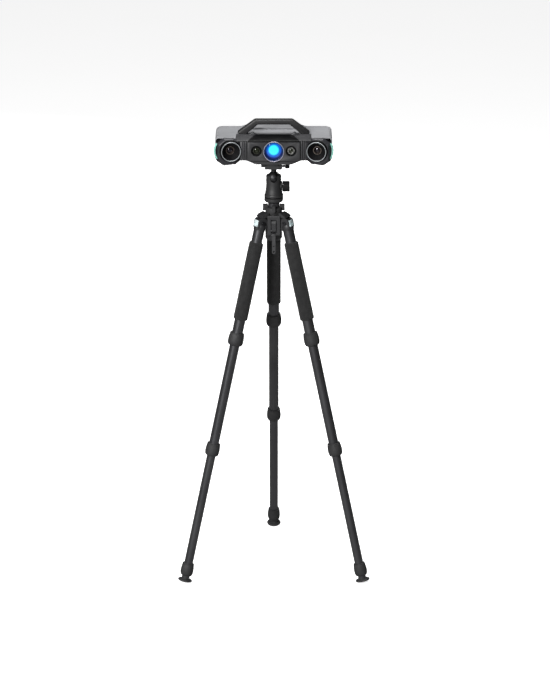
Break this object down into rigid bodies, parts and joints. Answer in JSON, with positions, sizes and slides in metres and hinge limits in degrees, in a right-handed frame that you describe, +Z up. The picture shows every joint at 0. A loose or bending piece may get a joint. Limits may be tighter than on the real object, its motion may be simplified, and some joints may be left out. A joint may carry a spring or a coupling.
{
  "type": "tripod-mounted 3-d scanner",
  "caption": "Stereo structured-light scanner head with carry handle on a ball head and a folding tripod with telescoping legs.",
  "frame": {"origin": "on the ground, at the middle of the footprint's box", "axes": "+Z up, the scanner looks along -Y, +X to the right as seen from the front"},
  "size_m": [0.5702, 0.4994, 1.3718],
  "materials": {
    "cast_dark": "satin",
    "tube_dark": "anodised",
    "foam": "matte foam",
    "lock_rubber": "matte",
    "foot_rubber": "matte",
    "tab_silver": "bright",
    "steel": "brushed",
    "plastic_dark": "satin",
    "head_paint": "satin",
    "knob_rubber": "matte",
    "ball_metal": "anodised",
    "shell_dark": "satin",
    "deck_grey": "satin",
    "handle_dark": "satin",
    "ring_bright": "polished",
    "lens_black": "matte",
    "lens_glass": "coated",
    "lamp_blue": "lit",
    "strip_mint": "satin",
    "bench_metal": "machined",
    "board_green": "solder mask",
    "button_metal": "satin"
  },
  "bodies": {
    "spider": {"spider": "cast_dark", "hinge_bolts": "steel"},
    "leg_front_left": {"leg_casting_front_left": "cast_dark", "upper_tube_front_left": "tube_dark", "foam_grip_front_left": "foam"},
    "lock_a_front_left": {"lock_a_front_left": "lock_rubber"},
    "section_b_front_left": {"tube_b_front_left": "tube_dark"},
    "lock_b_front_left": {"lock_b_front_left": "lock_rubber"},
    "section_c_front_left": {"tube_c_front_left": "tube_dark"},
    "lock_c_front_left": {"lock_c_front_left": "lock_rubber"},
    "section_d_front_left": {"tube_d_front_left": "tube_dark", "foot_front_left": "foot_rubber"},
    "angle_tab_front_left": {"angle_tab_front_left": "tab_silver"},
    "leg_front_right": {"leg_casting_front_right": "cast_dark", "upper_tube_front_right": "tube_dark", "foam_grip_front_right": "foam"},
    "lock_a_front_right": {"lock_a_front_right": "lock_rubber"},
    "section_b_front_right": {"tube_b_front_right": "tube_dark"},
    "lock_b_front_right": {"lock_b_front_right": "lock_rubber"},
    "section_c_front_right": {"tube_c_front_right": "tube_dark"},
    "lock_c_front_right": {"lock_c_front_right": "lock_rubber"},
    "section_d_front_right": {"tube_d_front_right": "tube_dark", "foot_front_right": "foot_rubber"},
    "angle_tab_front_right": {"angle_tab_front_right": "tab_silver"},
    "leg_back": {"leg_casting_back": "cast_dark", "upper_tube_back": "tube_dark", "foam_grip_back": "foam"},
    "lock_a_back": {"lock_a_back": "lock_rubber"},
    "section_b_back": {"tube_b_back": "tube_dark"},
    "lock_b_back": {"lock_b_back": "lock_rubber"},
    "section_c_back": {"tube_c_back": "tube_dark"},
    "lock_c_back": {"lock_c_back": "lock_rubber"},
    "section_d_back": {"tube_d_back": "tube_dark", "foot_back": "foot_rubber"},
    "angle_tab_back": {"angle_tab_back": "tab_silver"},
    "release_lever": {"release_lever": "plastic_dark"},
    "load_hook": {"load_hook": "cast_dark"},
    "column": {"center_column": "tube_dark", "pan_base": "head_paint"},
    "column_lock_ring": {"column_lock_ring": "lock_rubber"},
    "ball_housing": {"ball_housing": "head_paint"},
    "ball_knob": {"ball_knob": "knob_rubber"},
    "ball": {"ball_stem": "ball_metal"},
    "clamp": {"clamp_body": "head_paint"},
    "clamp_jaw": {"clamp_jaw": "head_paint"},
    "clamp_knob": {"clamp_knob": "knob_rubber"},
    "scanner": {"quick_release_plate": "head_paint", "lower_shell": "shell_dark", "top_cover": "deck_grey", "front_fascia": "shell_dark", "carry_handle": "handle_dark", "camera_housings": "shell_dark", "lens_rings": "ring_bright", "lens_barrels": "lens_black", "lens_windows": "lens_glass", "projector_lens": "lamp_blue", "light_strips": "strip_mint", "optical_bench": "bench_metal", "main_board": "board_green"},
    "power_button": {"power_button": "button_metal"}
  },
  "joints": [
    {"name": "leg_front_left_splay", "type": "hinge", "parent": "spider", "child": "leg_front_left", "pos_m": [-0.03767, -0.09875, 1.072], "axis": [-0.5, 0.866, 0], "range_deg": [-13.8, 60]},
    {"name": "lock_a_front_left_twist", "type": "hinge", "parent": "leg_front_left", "child": "lock_a_front_left", "pos_m": [-0.11018, -0.14061, 0.73113], "axis": [-0.2066, -0.1193, -0.9711], "range_deg": [0, 90]},
    {"name": "section_b_front_left_slide", "type": "slide", "parent": "leg_front_left", "child": "section_b_front_left", "axis": [-0.2066, -0.1193, -0.9711], "range_m": [-0.285, 0]},
    {"name": "lock_b_front_left_twist", "type": "hinge", "parent": "section_b_front_left", "child": "lock_b_front_left", "pos_m": [-0.18, -0.18093, 0.40289], "axis": [-0.2066, -0.1193, -0.9711], "range_deg": [0, 90]},
    {"name": "section_c_front_left_slide", "type": "slide", "parent": "section_b_front_left", "child": "section_c_front_left", "axis": [-0.2066, -0.1193, -0.9711], "range_m": [-0.31, 0]},
    {"name": "lock_c_front_left_twist", "type": "hinge", "parent": "section_c_front_left", "child": "lock_c_front_left", "pos_m": [-0.25726, -0.22553, 0.03968], "axis": [-0.2066, -0.1193, -0.9711], "range_deg": [0, 90]},
    {"name": "section_d_front_left_slide", "type": "slide", "parent": "section_c_front_left", "child": "section_d_front_left", "axis": [-0.2066, -0.1193, -0.9711], "range_m": [0, 0.285]},
    {"name": "angle_tab_front_left_pull", "type": "slide", "parent": "leg_front_left", "child": "angle_tab_front_left", "axis": [0.841, 0.4856, -0.2385], "range_m": [-0.006, 0], "stiffness_N_per_m": 400},
    {"name": "leg_front_right_splay", "type": "hinge", "parent": "spider", "child": "leg_front_right", "pos_m": [0.03767, -0.09875, 1.072], "axis": [-0.5, -0.866, 0], "range_deg": [-13.8, 60]},
    {"name": "lock_a_front_right_twist", "type": "hinge", "parent": "leg_front_right", "child": "lock_a_front_right", "pos_m": [0.11018, -0.14061, 0.73113], "axis": [0.2066, -0.1193, -0.9711], "range_deg": [0, 90]},
    {"name": "section_b_front_right_slide", "type": "slide", "parent": "leg_front_right", "child": "section_b_front_right", "axis": [0.2066, -0.1193, -0.9711], "range_m": [-0.285, 0]},
    {"name": "lock_b_front_right_twist", "type": "hinge", "parent": "section_b_front_right", "child": "lock_b_front_right", "pos_m": [0.18, -0.18093, 0.40289], "axis": [0.2066, -0.1193, -0.9711], "range_deg": [0, 90]},
    {"name": "section_c_front_right_slide", "type": "slide", "parent": "section_b_front_right", "child": "section_c_front_right", "axis": [0.2066, -0.1193, -0.9711], "range_m": [-0.31, 0]},
    {"name": "lock_c_front_right_twist", "type": "hinge", "parent": "section_c_front_right", "child": "lock_c_front_right", "pos_m": [0.25726, -0.22553, 0.03968], "axis": [0.2066, -0.1193, -0.9711], "range_deg": [0, 90]},
    {"name": "section_d_front_right_slide", "type": "slide", "parent": "section_c_front_right", "child": "section_d_front_right", "axis": [0.2066, -0.1193, -0.9711], "range_m": [0, 0.285]},
    {"name": "angle_tab_front_right_pull", "type": "slide", "parent": "leg_front_right", "child": "angle_tab_front_right", "axis": [-0.841, 0.4856, -0.2385], "range_m": [-0.006, 0], "stiffness_N_per_m": 400},
    {"name": "leg_back_splay", "type": "hinge", "parent": "spider", "child": "leg_back", "pos_m": [0, -0.0335, 1.072], "axis": [1, 0, 0], "range_deg": [-13.8, 60]},
    {"name": "lock_a_back_twist", "type": "hinge", "parent": "leg_back", "child": "lock_a_back", "pos_m": [0, 0.05022, 0.73113], "axis": [0, 0.2385, -0.9711], "range_deg": [0, 90]},
    {"name": "section_b_back_slide", "type": "slide", "parent": "leg_back", "child": "section_b_back", "axis": [0, 0.2385, -0.9711], "range_m": [-0.285, 0]},
    {"name": "lock_b_back_twist", "type": "hinge", "parent": "section_b_back", "child": "lock_b_back", "pos_m": [0, 0.13085, 0.40289], "axis": [0, 0.2385, -0.9711], "range_deg": [0, 90]},
    {"name": "section_c_back_slide", "type": "slide", "parent": "section_b_back", "child": "section_c_back", "axis": [0, 0.2385, -0.9711], "range_m": [-0.31, 0]},
    {"name": "lock_c_back_twist", "type": "hinge", "parent": "section_c_back", "child": "lock_c_back", "pos_m": [0, 0.22006, 0.03968], "axis": [0, 0.2385, -0.9711], "range_deg": [0, 90]},
    {"name": "section_d_back_slide", "type": "slide", "parent": "section_c_back", "child": "section_d_back", "axis": [0, 0.2385, -0.9711], "range_m": [0, 0.285]},
    {"name": "angle_tab_back_pull", "type": "slide", "parent": "leg_back", "child": "angle_tab_back", "axis": [0, -0.9711, -0.2385], "range_m": [-0.006, 0], "stiffness_N_per_m": 400},
    {"name": "release_lever_press", "type": "hinge", "parent": "spider", "child": "release_lever", "pos_m": [0, -0.1085, 1.05], "axis": [1, 0, 0], "range_deg": [-6, 0], "stiffness_Nm_per_rad": 0.5},
    {"name": "load_hook_swing", "type": "hinge", "parent": "spider", "child": "load_hook", "pos_m": [0, -0.109, 1.037], "axis": [1, 0, 0], "range_deg": [-80, 0]},
    {"name": "column_lift", "type": "slide", "parent": "spider", "child": "column", "axis": [0, 0, 1], "range_m": [0, 0.045]},
    {"name": "column_lock_ring_twist", "type": "hinge", "parent": "spider", "child": "column_lock_ring", "pos_m": [0, -0.077, 1.1], "axis": [0, 0, 1], "range_deg": [0, 60]},
    {"name": "head_pan", "type": "hinge", "parent": "column", "child": "ball_housing", "pos_m": [0, -0.077, 1.1433], "axis": [0, 0, 1], "continuous": true},
    {"name": "ball_knob_turn", "type": "hinge", "parent": "ball_housing", "child": "ball_knob", "pos_m": [0.035, -0.077, 1.1745], "axis": [1, 0, 0], "range_deg": [0, 360]},
    {"name": "ball_tilt", "type": "hinge", "parent": "ball_housing", "child": "ball", "pos_m": [0, -0.077, 1.2], "axis": [1, 0, 0], "range_deg": [-34, 90]},
    {"name": "clamp_swivel", "type": "hinge", "parent": "ball", "child": "clamp", "pos_m": [0, -0.077, 1.2305], "axis": [0, 0, 1], "continuous": true},
    {"name": "clamp_jaw_slide", "type": "slide", "parent": "clamp", "child": "clamp_jaw", "axis": [1, 0, 0], "range_m": [0, 0.0015]},
    {"name": "clamp_knob_turn", "type": "hinge", "parent": "clamp_jaw", "child": "clamp_knob", "pos_m": [0.03, -0.077, 1.235], "axis": [1, 0, 0], "range_deg": [0, 360]},
    {"name": "plate_slide", "type": "slide", "parent": "clamp", "child": "scanner", "axis": [0, 1, 0], "range_m": [-0.012, 0.012]},
    {"name": "power_button_press", "type": "slide", "parent": "scanner", "child": "power_button", "axis": [0, -1, 0], "range_m": [0, 0.0015], "stiffness_N_per_m": 600}
  ],
  "couplings": [
    {"joint": "clamp_knob_turn", "follows": "clamp_jaw_slide", "rad_per_m": 4188.8}
  ]
}
